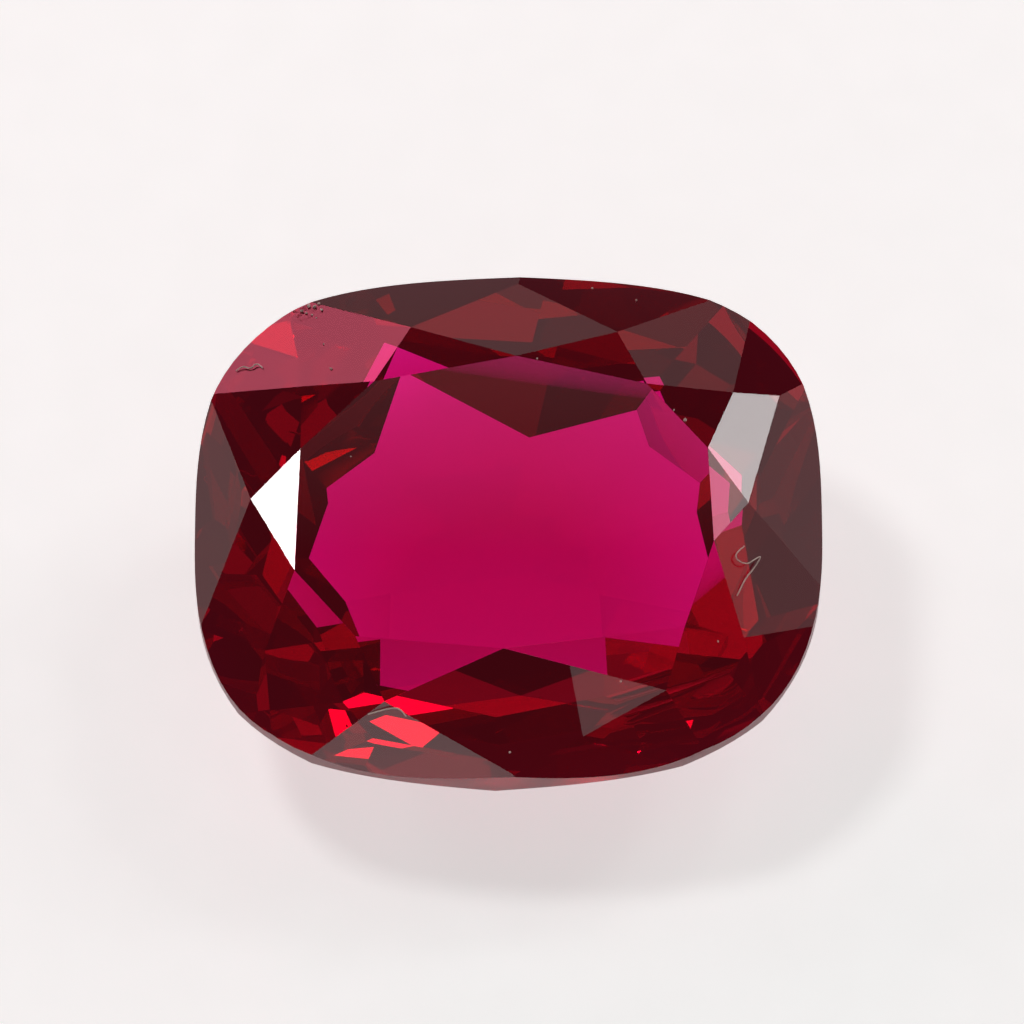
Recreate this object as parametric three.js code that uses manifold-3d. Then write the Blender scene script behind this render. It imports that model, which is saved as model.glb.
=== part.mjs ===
// Cushion-cut ruby, loose: one crystal, cut and polished all over, lying on a facet of its pavilion.
// Millimetres, +Z up. It is cut table up about its own girdle plane, then tipped onto that facet.
import * as THREE from "three";
import Module from "manifold-3d";

// Preform: the cushion outline at the girdle
const LENGTH = 12.0; // along X
const WIDTH = 10.3; // along Y
const CORNER_FULLNESS = [3.2, 2.95, 2.95, 2.7]; // 2 is an oval, higher is squarer; from +X+Y, anticlockwise
const OUTLINE_STEPS = 120;

// Heights from the girdle plane
const TABLE_HEIGHT = 1.44;
const GIRDLE_TOP = 0.22;
const GIRDLE_BOTTOM = -0.2;
const GIRDLE_SCALLOP = 0.1; // how far inside the outline a girdle facet's line is ground
const CULET_DEPTH = 4.45;
const CULET = [-0.25, -0.22]; // the stone was cut a little off its middle

// Facet charts. Azimuth is in degrees round the stone from +X to +Y, slope in degrees from the girdle plane.

// Star facets: their lines, a reach in mm from the axis, are the ten edges of the table
const STARS = [
  { azimuth: 77, reach: 2.98, slope: 18 },
  { azimuth: 41, reach: 3.6, slope: 18 },
  { azimuth: 3, reach: 3.85, slope: 18 },
  { azimuth: -18, reach: 3.95, slope: 24 },
  { azimuth: -83, reach: 2.94, slope: 21 },
  { azimuth: -95, reach: 2.97, slope: 21 },
  { azimuth: -139, reach: 3.97, slope: 20 },
  { azimuth: 178, reach: 4.0, slope: 13 },
  { azimuth: 135, reach: 3.58, slope: 18 },
  { azimuth: 101, reach: 2.94, slope: 18 },
];

// Crown mains: the one at each place in the list runs from the table corner before that star to the girdle
const CROWN_MAINS = [
  { azimuth: 89, slope: 27 },
  { azimuth: 58, slope: 25 },
  { azimuth: 15, slope: 26 },
  { azimuth: -13, slope: 27 },
  { azimuth: -50, slope: 33 },
  { azimuth: -88, slope: 27 },
  { azimuth: -118, slope: 29 },
  { azimuth: -164, slope: 28 },
  { azimuth: 153, slope: 27 },
  { azimuth: 119, slope: 25 },
];

// Upper girdle facets: each runs from the tip of the star at its place in the list to the girdle
const CROWN_BREAK_AZIMUTHS = [81, 39, 6, -36, -80, -98, -143, 177, 139, 98];

// Pavilion mains: shallow, and all but the rest facet meet at the culet
const PAVILION_MAINS = [
  { azimuth: 106, slope: 28.5 },
  { azimuth: 60, slope: 26 },
  { azimuth: 30, slope: 24.5 },
  { azimuth: 2, slope: 24 },
  { azimuth: -24, slope: 23 },
  { azimuth: -154, slope: 23 },
  { azimuth: 176, slope: 24 },
  { azimuth: 137, slope: 25 },
];

// The rest facet is a main ground deeper than its neighbours, so it is broad enough to lie on
const REST_FACET = { azimuth: -90, slope: 11 };
const REST_FACET_DEEPER = 0.75;

// Half mains at the rest facet's tip: their planes cross the culet's level at a setback in mm from it
const PAVILION_HALVES = [
  { azimuth: -81, slope: 32, setback: 0.22 },
  { azimuth: -100, slope: 32, setback: 0.22 },
];

// Lower girdle facets: steep, from the girdle down to the ridges between the mains
const PAVILION_BREAKS = [
  { azimuth: 84, slope: 47 },
  { azimuth: 40, slope: 41.5 },
  { azimuth: 8, slope: 47 },
  { azimuth: -30, slope: 50 },
  { azimuth: -60, slope: 46 },
  { azimuth: -80, slope: 50 },
  { azimuth: -101, slope: 50 },
  { azimuth: -125, slope: 48 },
  { azimuth: -157, slope: 46 },
  { azimuth: 168, slope: 48.5 },
  { azimuth: 133, slope: 43.5 },
];

const wasm = await Module();
wasm.setup();

// Three.js geometry as a closed solid
function solidOf(geometry) {
  const bare = new THREE.BufferGeometry().setAttribute("position", geometry.getAttribute("position"));
  const flat = geometry.index ? bare.setIndex(geometry.index).toNonIndexed() : bare;
  const count = flat.getAttribute("position").count;
  const mesh = new wasm.Mesh({
    numProp: 3,
    vertProperties: flat.getAttribute("position").array,
    triVerts: Uint32Array.from({ length: count }, (_, corner) => corner),
  });
  mesh.merge();
  return new wasm.Manifold(mesh);
}

// A closed solid as three.js geometry, each facet flat
function geometryOf(solid) {
  const mesh = solid.getMesh();
  const corners = new Float32Array(mesh.triVerts.length * 3);
  mesh.triVerts.forEach((vertex, corner) => {
    const start = vertex * mesh.numProp;
    corners.set(mesh.vertProperties.subarray(start, start + 3), corner * 3);
  });
  const geometry = new THREE.BufferGeometry();
  geometry.setAttribute("position", new THREE.BufferAttribute(corners, 3));
  geometry.computeVertexNormals();
  return geometry;
}

// Level direction out from the axis at an azimuth
function outward(azimuth) {
  const turn = THREE.MathUtils.degToRad(azimuth);
  return new THREE.Vector3(Math.cos(turn), Math.sin(turn), 0);
}

// Direction a facet faces: side is 1 on the crown and -1 on the pavilion
function facing(facet, side) {
  const tip = THREE.MathUtils.degToRad(facet.slope);
  const level = outward(facet.azimuth).multiplyScalar(Math.sin(tip));
  return level.add(new THREE.Vector3(0, 0, side * Math.cos(tip)));
}

// The slab of stone that grinding one facet takes off, bounded by the plane through a point
function groundOff(direction, through) {
  const slab = new THREE.BoxGeometry(60, 60, 20);
  slab.translate(0, 0, 10);
  slab.applyQuaternion(new THREE.Quaternion().setFromUnitVectors(new THREE.Vector3(0, 0, 1), direction));
  slab.translate(through.x, through.y, through.z);
  return solidOf(slab);
}

// Points of the cushion outline, in order round the stone
const outline = [];
for (let step = 0; step < OUTLINE_STEPS; step += 1) {
  const turn = (2 * Math.PI * step) / OUTLINE_STEPS;
  const fullness = CORNER_FULLNESS[Math.floor((4 * step) / OUTLINE_STEPS)];
  const across = Math.abs(Math.cos(turn)) / (LENGTH / 2);
  const along = Math.abs(Math.sin(turn)) / (WIDTH / 2);
  const radius = (across ** fullness + along ** fullness) ** (-1 / fullness);
  outline.push(new THREE.Vector2(radius * Math.cos(turn), radius * Math.sin(turn)));
}

// Reach of a girdle facet's line at an azimuth: just inside the outline
function girdleReach(azimuth) {
  const out = outward(azimuth);
  const reaches = outline.map((point) => point.x * out.x + point.y * out.y);
  return Math.max(...reaches) - GIRDLE_SCALLOP;
}

// Point on the line of a facet at a reach and a height
function onLine(azimuth, reach, height) {
  const point = outward(azimuth).multiplyScalar(reach);
  point.z = height;
  return point;
}

// Point where three facets meet
function meetPoint(facets) {
  const [a, b, c] = facets.map((facet) => facet.direction);
  const [reachA, reachB, reachC] = facets.map((facet) => facet.direction.dot(facet.through));
  const point = b.clone().cross(c).multiplyScalar(reachA);
  point.addScaledVector(c.clone().cross(a), reachB);
  point.addScaledVector(a.clone().cross(b), reachC);
  return point.divideScalar(a.dot(b.clone().cross(c)));
}

// Preform: the outline as a prism from below the culet to above the table
function preform() {
  const prism = new THREE.ExtrudeGeometry(new THREE.Shape(outline), {
    depth: TABLE_HEIGHT + CULET_DEPTH + 1,
    bevelEnabled: false,
  });
  prism.translate(0, 0, -CULET_DEPTH - 0.5);
  return solidOf(prism);
}

// Each facet below is the direction it faces and a point on it

// Table and stars
const table = { direction: new THREE.Vector3(0, 0, 1), through: new THREE.Vector3(0, 0, TABLE_HEIGHT) };
const stars = STARS.map((star) => ({
  direction: facing(star, 1),
  through: onLine(star.azimuth, star.reach, TABLE_HEIGHT),
}));

// Crown mains, through the corners of the table
const crownMains = CROWN_MAINS.map((main, place) => {
  const before = stars[(place + stars.length - 1) % stars.length];
  return { direction: facing(main, 1), through: meetPoint([table, before, stars[place]]) };
});

// Upper girdle facets, sloped to run from the star's tip to the girdle
const crownBreaks = CROWN_BREAK_AZIMUTHS.map((azimuth, place) => {
  const after = crownMains[(place + 1) % crownMains.length];
  const tip = meetPoint([stars[place], crownMains[place], after]);
  const run = girdleReach(azimuth) - tip.dot(outward(azimuth));
  const slope = THREE.MathUtils.radToDeg(Math.atan2(tip.z - GIRDLE_TOP, run));
  return { direction: facing({ azimuth, slope }, 1), through: tip };
});

// Pavilion
const culet = new THREE.Vector3(CULET[0], CULET[1], -CULET_DEPTH);
const pavilionMains = PAVILION_MAINS.map((main) => ({ direction: facing(main, -1), through: culet }));
const restFacing = facing(REST_FACET, -1);
const restFacet = {
  direction: restFacing,
  through: culet.clone().addScaledVector(restFacing, -REST_FACET_DEEPER),
};
const pavilionHalves = PAVILION_HALVES.map((half) => ({
  direction: facing(half, -1),
  through: culet.clone().addScaledVector(outward(half.azimuth), half.setback),
}));
const pavilionBreaks = PAVILION_BREAKS.map((facet) => ({
  direction: facing(facet, -1),
  through: onLine(facet.azimuth, girdleReach(facet.azimuth), GIRDLE_BOTTOM),
}));

// The cut stone
let stone = preform();
const crown = [table, ...stars, ...crownMains, ...crownBreaks];
const pavilion = [...pavilionBreaks, ...pavilionMains, ...pavilionHalves, restFacet];
for (const facet of [...crown, ...pavilion]) {
  stone = stone.subtract(groundOff(facet.direction, facet.through));
}

// Tipped onto its rest facet, with the middle of its footprint at the origin
const geometry = geometryOf(stone);
geometry.applyQuaternion(new THREE.Quaternion().setFromUnitVectors(restFacing, new THREE.Vector3(0, 0, -1)));
geometry.computeBoundingBox();
const middle = geometry.boundingBox.getCenter(new THREE.Vector3());
geometry.translate(-middle.x, -middle.y, -geometry.boundingBox.min.z);

const ruby = new THREE.Mesh(
  geometry,
  new THREE.MeshStandardMaterial({ color: 0x8f0a2e, roughness: 0.04, metalness: 0 }),
);
ruby.name = "ruby";

const group = new THREE.Group();
group.add(ruby);

export default group;
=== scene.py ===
import math
import random

import bmesh
import bpy
from mathutils import Matrix, Vector
from mathutils.bvhtree import BVHTree


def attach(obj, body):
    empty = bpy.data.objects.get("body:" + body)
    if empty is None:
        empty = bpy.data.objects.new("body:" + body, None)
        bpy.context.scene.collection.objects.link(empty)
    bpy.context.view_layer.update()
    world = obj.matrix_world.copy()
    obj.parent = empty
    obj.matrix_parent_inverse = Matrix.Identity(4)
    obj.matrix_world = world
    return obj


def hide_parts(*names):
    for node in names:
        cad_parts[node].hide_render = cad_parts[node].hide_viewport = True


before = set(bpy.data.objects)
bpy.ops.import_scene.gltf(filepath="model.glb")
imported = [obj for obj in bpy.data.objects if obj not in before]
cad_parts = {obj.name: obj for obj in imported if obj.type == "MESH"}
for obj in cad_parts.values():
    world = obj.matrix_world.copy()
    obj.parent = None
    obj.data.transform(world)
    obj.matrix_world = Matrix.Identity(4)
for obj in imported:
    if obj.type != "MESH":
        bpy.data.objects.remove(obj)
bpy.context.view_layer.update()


# The cut stone: one crystal of ruby, ground on a lap to flat facets and polished to a glassy skin.
# The facets are the solid's own. Polishing leaves each edge a hair's breadth round, and the thin
# band of the girdle is left ground and unpolished, with a small chip at one corner.
MM = 0.001
TABLE_DIRECTION = Vector((0.0, -0.1908, 0.9816))
SAME_FACET = math.radians(0.2)
SHORTEST_EDGE = 0.008 * MM
EDGE_ROUNDING = 0.014 * MM
SHARP_EDGE = math.radians(5.0)
GIRDLE_LEAN = 0.16
RUBY_SKIN = (1.0, 0.72, 0.82, 1.0)
RUBY_IOR = 1.77
# Painted light: the stone glows a faint red of its own, standing in for red light from inside it
# on the darker facets.
RUBY_PAINTED_GLOW = (1.0, 0.02, 0.12, 1.0)
RUBY_PAINTED_GLOW_STRENGTH = 0.018
RUBY_DEPTH_COLOUR = (0.935, 0.0, 0.735, 1.0)
RUBY_DEPTH_DENSITY = 1350.0
GROUND_ROUGHNESS = 0.38
CHIP_PLACE = Vector((-4.02, 4.27, 4.80)) * MM
CHIP_REACH = 0.42 * MM
CHIP_MIDDLE = 0.12 * MM
CHIP_GRAIN_SCALE = 9000.0
CHIP_GRAIN_CLEAR = 0.48
CHIP_GRAIN_DULL = 0.56

scene = bpy.context.scene
stone_mesh = bmesh.new()
stone_mesh.from_mesh(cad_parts["ruby"].data)
bmesh.ops.remove_doubles(stone_mesh, verts=stone_mesh.verts, dist=SHORTEST_EDGE)
bmesh.ops.dissolve_limit(
    stone_mesh, angle_limit=SAME_FACET, verts=stone_mesh.verts, edges=stone_mesh.edges
)
stone_surface = BVHTree.FromBMesh(stone_mesh)

ground_layer = stone_mesh.faces.layers.float.new("ground")
for face in stone_mesh.faces:
    if abs(face.normal.dot(TABLE_DIRECTION)) < GIRDLE_LEAN:
        face[ground_layer] = 1.0

facet_edges = [
    edge for edge in stone_mesh.edges
    if edge.is_manifold and edge.calc_face_angle() > SHARP_EDGE
]
bmesh.ops.bevel(
    stone_mesh,
    geom=facet_edges,
    offset=EDGE_ROUNDING,
    offset_type="OFFSET",
    affect="EDGES",
    segments=1,
    profile=0.5,
    material=-1,
    clamp_overlap=True,
)
stone_data = bpy.data.meshes.new("ruby_stone")
stone_mesh.to_mesh(stone_data)
stone_mesh.free()
stone = bpy.data.objects.new("ruby_stone", stone_data)
scene.collection.objects.link(stone)

ruby = bpy.data.materials.new("ruby")
ruby.use_nodes = True
ruby_nodes = ruby.node_tree.nodes
ruby_links = ruby.node_tree.links
ruby_nodes.clear()
ruby_output = ruby_nodes.new("ShaderNodeOutputMaterial")
ruby_skin = ruby_nodes.new("ShaderNodeBsdfPrincipled")
ruby_skin.inputs["Base Color"].default_value = RUBY_SKIN
ruby_skin.inputs["IOR"].default_value = RUBY_IOR
ruby_skin.inputs["Transmission Weight"].default_value = 1.0
# Painted light: a faint red glow on the stone's skin brightens the darker facets as if lit from
# within.
ruby_skin.inputs["Emission Color"].default_value = RUBY_PAINTED_GLOW
ruby_skin.inputs["Emission Strength"].default_value = RUBY_PAINTED_GLOW_STRENGTH
depth_of_red = ruby_nodes.new("ShaderNodeVolumeAbsorption")
depth_of_red.inputs["Color"].default_value = RUBY_DEPTH_COLOUR
depth_of_red.inputs["Density"].default_value = RUBY_DEPTH_DENSITY
ruby_links.new(ruby_skin.outputs["BSDF"], ruby_output.inputs["Surface"])
ruby_links.new(depth_of_red.outputs["Volume"], ruby_output.inputs["Volume"])

# The chip: a patchy bruise that fades out from its middle
place_on_stone = ruby_nodes.new("ShaderNodeTexCoord")
from_chip = ruby_nodes.new("ShaderNodeVectorMath")
from_chip.operation = "DISTANCE"
from_chip.inputs[1].default_value = CHIP_PLACE
ruby_links.new(place_on_stone.outputs["Object"], from_chip.inputs[0])
near_chip = ruby_nodes.new("ShaderNodeMapRange")
near_chip.inputs["From Min"].default_value = CHIP_REACH
near_chip.inputs["From Max"].default_value = CHIP_MIDDLE
ruby_links.new(from_chip.outputs["Value"], near_chip.inputs["Value"])
chip_grain = ruby_nodes.new("ShaderNodeTexNoise")
chip_grain.inputs["Scale"].default_value = CHIP_GRAIN_SCALE
chip_grain.inputs["Detail"].default_value = 1.0
ruby_links.new(place_on_stone.outputs["Object"], chip_grain.inputs["Vector"])
chip_patches = ruby_nodes.new("ShaderNodeMapRange")
chip_patches.inputs["From Min"].default_value = CHIP_GRAIN_CLEAR
chip_patches.inputs["From Max"].default_value = CHIP_GRAIN_DULL
ruby_links.new(chip_grain.outputs["Fac"], chip_patches.inputs["Value"])
bruise = ruby_nodes.new("ShaderNodeMath")
bruise.operation = "MULTIPLY"
ruby_links.new(near_chip.outputs["Result"], bruise.inputs[0])
ruby_links.new(chip_patches.outputs["Result"], bruise.inputs[1])

# The ground girdle and the chip are dull, and every facet is polished
ground_band = ruby_nodes.new("ShaderNodeAttribute")
ground_band.attribute_name = "ground"
unpolished = ruby_nodes.new("ShaderNodeMath")
unpolished.operation = "MAXIMUM"
ruby_links.new(ground_band.outputs["Fac"], unpolished.inputs[0])
ruby_links.new(bruise.outputs["Value"], unpolished.inputs[1])
polish = ruby_nodes.new("ShaderNodeMapRange")
polish.inputs["To Min"].default_value = 0.0
polish.inputs["To Max"].default_value = GROUND_ROUGHNESS
ruby_links.new(unpolished.outputs["Value"], polish.inputs["Value"])
ruby_links.new(polish.outputs["Result"], ruby_skin.inputs["Roughness"])
stone_data.materials.append(ruby)
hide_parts("ruby")
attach(stone, "root")


# Lint: three short cotton fibres that cling to the polished crown, one curled and two kinked.
# Each lies on the facets under it and lifts a little off them where it curls.
COTTON_WIDTH = 0.026 * MM
COTTON_SHADE = (0.62, 0.42, 0.36, 1.0)
COTTON_LIGHT = (0.85, 0.78, 0.72, 1.0)
COTTON_ROUGHNESS = 0.7
COTTON_GRAIN_SCALE = 6000.0
COTTON_DEPTH = 0.02 * MM
COTTON_SOFTNESS = 0.3
ABOVE_STONE = 20.0
CURLED_FIBRE = [
    (4.47, -1.00, 0.02), (4.30, -1.16, 0.06), (4.26, -1.32, 0.10), (4.45, -1.38, 0.14),
    (4.59, -1.25, 0.18), (4.76, -1.11, 0.12), (4.63, -1.37, 0.10), (4.47, -1.60, 0.08),
    (4.38, -1.82, 0.05), (4.32, -1.97, 0.02),
]
FRONT_FIBRE = [
    (-2.65, -4.16, 0.02), (-2.46, -4.12, 0.05), (-2.21, -4.09, 0.07),
    (-2.04, -4.10, 0.05), (-1.93, -4.22, 0.02),
]
CORNER_FIBRE = [
    (-5.24, 3.05, 0.02), (-5.11, 3.14, 0.05), (-4.95, 2.99, 0.03),
    (-4.82, 3.13, 0.06), (-4.72, 2.97, 0.02),
]

cotton = bpy.data.materials.new("cotton_lint")
cotton.use_nodes = True
cotton_nodes = cotton.node_tree.nodes
cotton_links = cotton.node_tree.links
cotton_skin = cotton_nodes["Principled BSDF"]
cotton_skin.inputs["Roughness"].default_value = COTTON_ROUGHNESS
cotton_skin.inputs["Subsurface Weight"].default_value = COTTON_SOFTNESS
cotton_skin.inputs["Subsurface Radius"].default_value = (COTTON_DEPTH, COTTON_DEPTH, COTTON_DEPTH)
cotton_tone = cotton_nodes.new("ShaderNodeValToRGB")
cotton_tone.color_ramp.elements[0].color = COTTON_SHADE
cotton_tone.color_ramp.elements[1].color = COTTON_LIGHT
cotton_grain = cotton_nodes.new("ShaderNodeTexNoise")
cotton_grain.inputs["Scale"].default_value = COTTON_GRAIN_SCALE
cotton_place = cotton_nodes.new("ShaderNodeTexCoord")
cotton_links.new(cotton_place.outputs["Object"], cotton_grain.inputs["Vector"])
cotton_links.new(cotton_grain.outputs["Fac"], cotton_tone.inputs["Fac"])
cotton_links.new(cotton_tone.outputs["Color"], cotton_skin.inputs["Base Color"])


def on_stone(x, y, lift):
    """The point over plan position x, y that stands lift off the stone, all in mm."""
    top = Vector((x, y, ABOVE_STONE)) * MM
    point, normal, _, _ = stone_surface.ray_cast(top, Vector((0.0, 0.0, -1.0)))
    return point + normal * lift * MM


def lint_fibre(name, steps):
    """A cotton fibre through steps of plan position and lift, in mm, as a mesh."""
    line = bpy.data.curves.new(name, "CURVE")
    line.dimensions = "3D"
    line.bevel_depth = COTTON_WIDTH / 2
    line.bevel_resolution = 2
    line.resolution_u = 6
    line.use_fill_caps = True
    spline = line.splines.new("NURBS")
    spline.points.add(len(steps) - 1)
    for point, step in zip(spline.points, steps):
        point.co = (*on_stone(*step), 1.0)
    spline.order_u = 3
    spline.use_endpoint_u = True
    drawn = bpy.data.objects.new(name + "_line", line)
    scene.collection.objects.link(drawn)
    bpy.context.view_layer.update()
    finished = drawn.evaluated_get(bpy.context.evaluated_depsgraph_get())
    data = bpy.data.meshes.new_from_object(finished)
    data.name = name
    bpy.data.objects.remove(drawn)
    fibre = bpy.data.objects.new(name, data)
    scene.collection.objects.link(fibre)
    data.materials.clear()
    data.materials.append(cotton)
    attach(fibre, "root")


lint_fibre("lint_curl", CURLED_FIBRE)
lint_fibre("lint_front", FRONT_FIBRE)
lint_fibre("lint_corner", CORNER_FIBRE)


# Dust: pale grains of polishing powder and paper dust, a few hundredths of a millimetre across.
# Each is an uneven crumb that lies on a facet of the crown, and a few have gathered at the chip.
DUST_PLACES = [
    (-3.55, 3.31, 0.022), (-3.40, 2.63, 0.026), (-3.00, 0.64, 0.020), (3.36, 1.38, 0.040),
    (3.15, 1.58, 0.022), (0.55, 2.63, 0.020), (2.46, 4.43, 0.024), (0.03, -4.75, 0.024),
    (3.96, -2.86, 0.020), (2.12, -3.67, 0.018), (1.62, 4.73, 0.030),
]
CHIP_CRUMBS = [
    (-3.99, 4.27, 0.034), (-3.86, 4.38, 0.045), (-3.74, 4.34, 0.038), (-3.66, 4.42, 0.030),
    (-3.60, 4.24, 0.028), (-3.90, 4.20, 0.024), (-3.79, 4.14, 0.020), (-3.70, 4.05, 0.016),
]
DUST_SEED = 7
DUST_LIFT = 0.6
DUST_UNEVENNESS = 0.35

crumbs = random.Random(DUST_SEED)
dust_mesh = bmesh.new()
for x, y, radius in DUST_PLACES + CHIP_CRUMBS:
    centre = on_stone(x, y, radius * DUST_LIFT)
    crumb = bmesh.ops.create_icosphere(
        dust_mesh, subdivisions=1, radius=radius * MM, matrix=Matrix.Translation(centre)
    )
    for vert in crumb["verts"]:
        swell = 1.0 + crumbs.uniform(-DUST_UNEVENNESS, DUST_UNEVENNESS)
        vert.co = centre + (vert.co - centre) * swell
dust_data = bpy.data.meshes.new("dust_specks")
dust_mesh.to_mesh(dust_data)
dust_mesh.free()
dust = bpy.data.objects.new("dust_specks", dust_data)
scene.collection.objects.link(dust)
dust_data.materials.append(cotton)
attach(dust, "root")


# Floor: a plain white sheet with a soft, slightly mottled matt surface, on which the stone lies.
# It passes a little of the light that falls on it, so it glows faintly under the stone.
FLOOR_RADIUS = 400.0 * MM
FLOOR_LEVEL = -0.03 * MM
FLOOR_SIDES = 96
FLOOR_GLOW = 0.6
SHEET_GLOW = (1.0, 0.99, 0.98, 1.0)
SHEET_SHADE = (0.80, 0.795, 0.79, 1.0)
SHEET_LIGHT = (0.90, 0.90, 0.90, 1.0)
SHEET_ROUGHNESS = 0.8
SHEET_GLOSS = 0.2
SHEET_MOTTLE_SCALE = 900.0
SHEET_MOTTLE_DETAIL = 5.0

floor_mesh = bmesh.new()
bmesh.ops.create_circle(
    floor_mesh, cap_ends=True, segments=FLOOR_SIDES, radius=FLOOR_RADIUS,
    matrix=Matrix.Translation((0.0, 0.0, FLOOR_LEVEL)),
)
floor_data = bpy.data.meshes.new("floor")
floor_mesh.to_mesh(floor_data)
floor_mesh.free()
floor = bpy.data.objects.new("floor", floor_data)
scene.collection.objects.link(floor)

white_sheet = bpy.data.materials.new("white_sheet")
white_sheet.use_nodes = True
sheet_nodes = white_sheet.node_tree.nodes
sheet_links = white_sheet.node_tree.links
sheet_skin = sheet_nodes["Principled BSDF"]
sheet_skin.inputs["Roughness"].default_value = SHEET_ROUGHNESS
sheet_skin.inputs["Specular IOR Level"].default_value = SHEET_GLOSS
sheet_skin.inputs["Emission Color"].default_value = SHEET_GLOW
sheet_skin.inputs["Emission Strength"].default_value = FLOOR_GLOW
sheet_tone = sheet_nodes.new("ShaderNodeValToRGB")
sheet_tone.color_ramp.elements[0].color = SHEET_SHADE
sheet_tone.color_ramp.elements[1].color = SHEET_LIGHT
sheet_mottle = sheet_nodes.new("ShaderNodeTexNoise")
sheet_mottle.inputs["Scale"].default_value = SHEET_MOTTLE_SCALE
sheet_mottle.inputs["Detail"].default_value = SHEET_MOTTLE_DETAIL
sheet_place = sheet_nodes.new("ShaderNodeTexCoord")
sheet_links.new(sheet_place.outputs["Object"], sheet_mottle.inputs["Vector"])
sheet_links.new(sheet_mottle.outputs["Fac"], sheet_tone.inputs["Fac"])
sheet_links.new(sheet_tone.outputs["Color"], sheet_skin.inputs["Base Color"])
floor_data.materials.append(white_sheet)


# Studio light: soft panels round the stone, each set where a crown facet mirrors it to the camera.
# Two of them are papered pink, and the panel overhead fades out towards one side. The room behind
# them is dark above a low pale wall, so the other facets show only the colour inside the stone.
PANEL_DISTANCE = 150.0 * MM
PANELS = [
    ("west_softbox", (-0.405, 0.224, 0.887), 26.0, 18.0),
    ("west_low_panel", (-0.78, 0.37, 0.51), 28.0, 4.0),
    ("east_softbox", (0.67, 0.45, 0.59), 30.0, 5.2),
    ("east_middle_panel", (0.67, 0.30, 0.68), 16.0, 5.0),
    ("east_high_panel", (0.54, 0.25, 0.80), 26.0, 1.8),
    ("east_side_panel", (0.78, 0.08, 0.61), 28.0, 0.35),
    ("east_low_panel", (0.85, 0.37, 0.36), 34.0, 0.45),
    ("north_east_panel", (0.44, 0.48, 0.76), 24.0, 5.0),
    ("north_east_high_panel", (0.27, 0.28, 0.92), 30.0, 0.45),
    ("north_east_low_panel", (0.33, 0.81, 0.49), 36.0, 0.3),
    ("south_east_panel", (0.59, -0.37, 0.72), 36.0, 0.4),
    ("north_panel", (0.01, 0.92, 0.40), 44.0, 0.33),
    ("north_west_panel", (-0.28, 0.82, 0.50), 30.0, 3.2),
    ("north_west_side_panel", (-0.53, 0.77, 0.37), 34.0, 3.2),
    ("front_panel", (0.178, -0.68, 0.713), 40.0, 0.5),
    ("front_low_panel", (-0.18, -0.89, 0.42), 34.0, 0.8),
    ("top_front_panel", (0.14, -0.16, 0.977), 40.0, 0.25),
]
PINK_PANELS = {"north_west_panel", "north_west_side_panel"}
PINK_PAPER = (1.0, 0.18, 0.28)
TOP_PANEL = ("top_panel", (0.0, 0.25, 0.968), 40.0, 0.14)
TOP_PANEL_DARK = 0.80
TOP_PANEL_BRIGHT = 0.64
WALL_COLOUR = (1.0, 0.99, 0.98, 1.0)
WALL_BRIGHTNESS = 0.5
WALL_TOP = 0.05
ROOM_START = 0.2
ROOM_BRIGHTNESS = 0.02
STONE_BOUNCES = 14


def hang_panel(name, direction, side, brightness):
    """A square light panel of a side in mm, hung in a direction from the stone and facing it."""
    light = bpy.data.lights.new(name, "AREA")
    light.shape = "SQUARE"
    light.size = side * MM
    light.energy = brightness * math.pi * light.size ** 2
    panel = bpy.data.objects.new(name, light)
    scene.collection.objects.link(panel)
    panel.location = Vector(direction).normalized() * PANEL_DISTANCE
    panel.rotation_euler = (-Vector(direction)).to_track_quat("-Z", "Y").to_euler()
    return light


for panel_row in PANELS:
    panel_light = hang_panel(*panel_row)
    if panel_light.name in PINK_PANELS:
        panel_light.color = PINK_PAPER

top_light = hang_panel(*TOP_PANEL)
top_light.use_nodes = True
top_nodes = top_light.node_tree.nodes
top_links = top_light.node_tree.links
across_panel = top_nodes.new("ShaderNodeNewGeometry")
panel_sides = top_nodes.new("ShaderNodeSeparateXYZ")
panel_fade = top_nodes.new("ShaderNodeMapRange")
panel_fade.inputs["From Min"].default_value = TOP_PANEL_DARK
panel_fade.inputs["From Max"].default_value = TOP_PANEL_BRIGHT
top_links.new(across_panel.outputs["Parametric"], panel_sides.inputs["Vector"])
top_links.new(panel_sides.outputs["Y"], panel_fade.inputs["Value"])
top_links.new(panel_fade.outputs["Result"], top_nodes["Emission"].inputs["Strength"])

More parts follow.
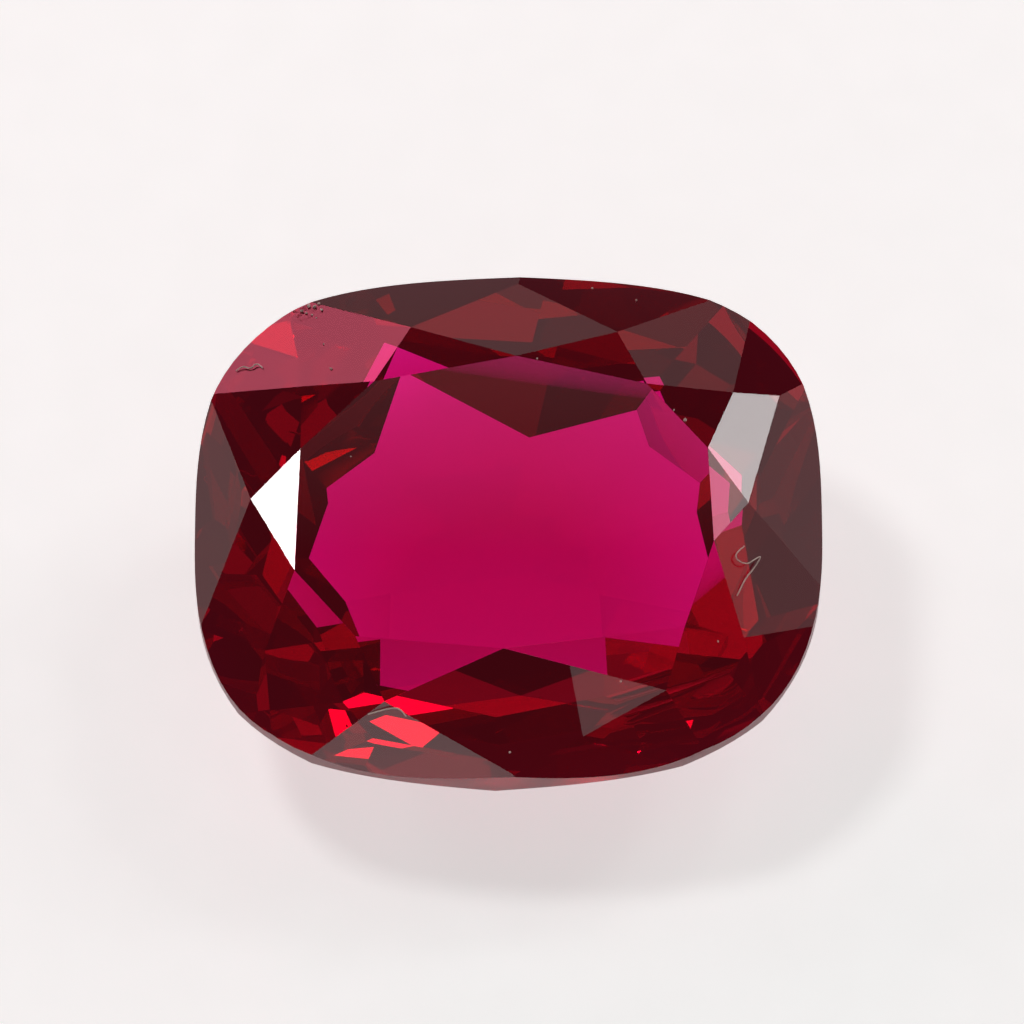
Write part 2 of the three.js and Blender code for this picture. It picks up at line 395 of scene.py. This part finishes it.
room = bpy.data.worlds.new("room")
room.use_nodes = True
room_nodes = room.node_tree.nodes
room_links = room.node_tree.links
room_light = room_nodes["Background"]
room_light.inputs["Color"].default_value = WALL_COLOUR
around = room_nodes.new("ShaderNodeTexCoord")
height = room_nodes.new("ShaderNodeSeparateXYZ")
wall_fade = room_nodes.new("ShaderNodeMapRange")
wall_fade.inputs["From Min"].default_value = WALL_TOP
wall_fade.inputs["From Max"].default_value = ROOM_START
wall_fade.inputs["To Min"].default_value = WALL_BRIGHTNESS
wall_fade.inputs["To Max"].default_value = ROOM_BRIGHTNESS
room_links.new(around.outputs["Generated"], height.inputs["Vector"])
room_links.new(height.outputs["Z"], wall_fade.inputs["Value"])
room_links.new(wall_fade.outputs["Result"], room_light.inputs["Strength"])
scene.world = room

scene.view_settings.view_transform = "Standard"
scene.cycles.use_denoising = True
scene.cycles.max_bounces = STONE_BOUNCES
scene.cycles.transmission_bounces = STONE_BOUNCES
scene.cycles.glossy_bounces = STONE_BOUNCES
scene.cycles.diffuse_bounces = 1
scene.cycles.caustics_reflective = False


# Camera: a long lens in front of the stone, looking down on its table.
# It stands far enough back that the picture is as wide as the stone and a margin round it.
CAMERA_ELEVATION = math.radians(57.0)
CAMERA_LENS = 300.0
CAMERA_SENSOR = 36.0
CAMERA_NEAREST = 5.0 * MM
CAMERA_TARGET = Vector((0.067, 0.332, 3.795)) * MM
PICTURE_WIDTH = 19.62 * MM

camera_data = bpy.data.cameras.new("camera")
camera_data.lens = CAMERA_LENS
camera_data.sensor_width = CAMERA_SENSOR
camera_data.clip_start = CAMERA_NEAREST
camera = bpy.data.objects.new("camera", camera_data)
scene.collection.objects.link(camera)
towards_camera = Vector((0.0, -math.cos(CAMERA_ELEVATION), math.sin(CAMERA_ELEVATION)))
camera_distance = PICTURE_WIDTH * CAMERA_LENS / CAMERA_SENSOR
camera.location = CAMERA_TARGET + towards_camera * camera_distance
camera.rotation_euler = (-towards_camera).to_track_quat("-Z", "Y").to_euler()
scene.camera = camera
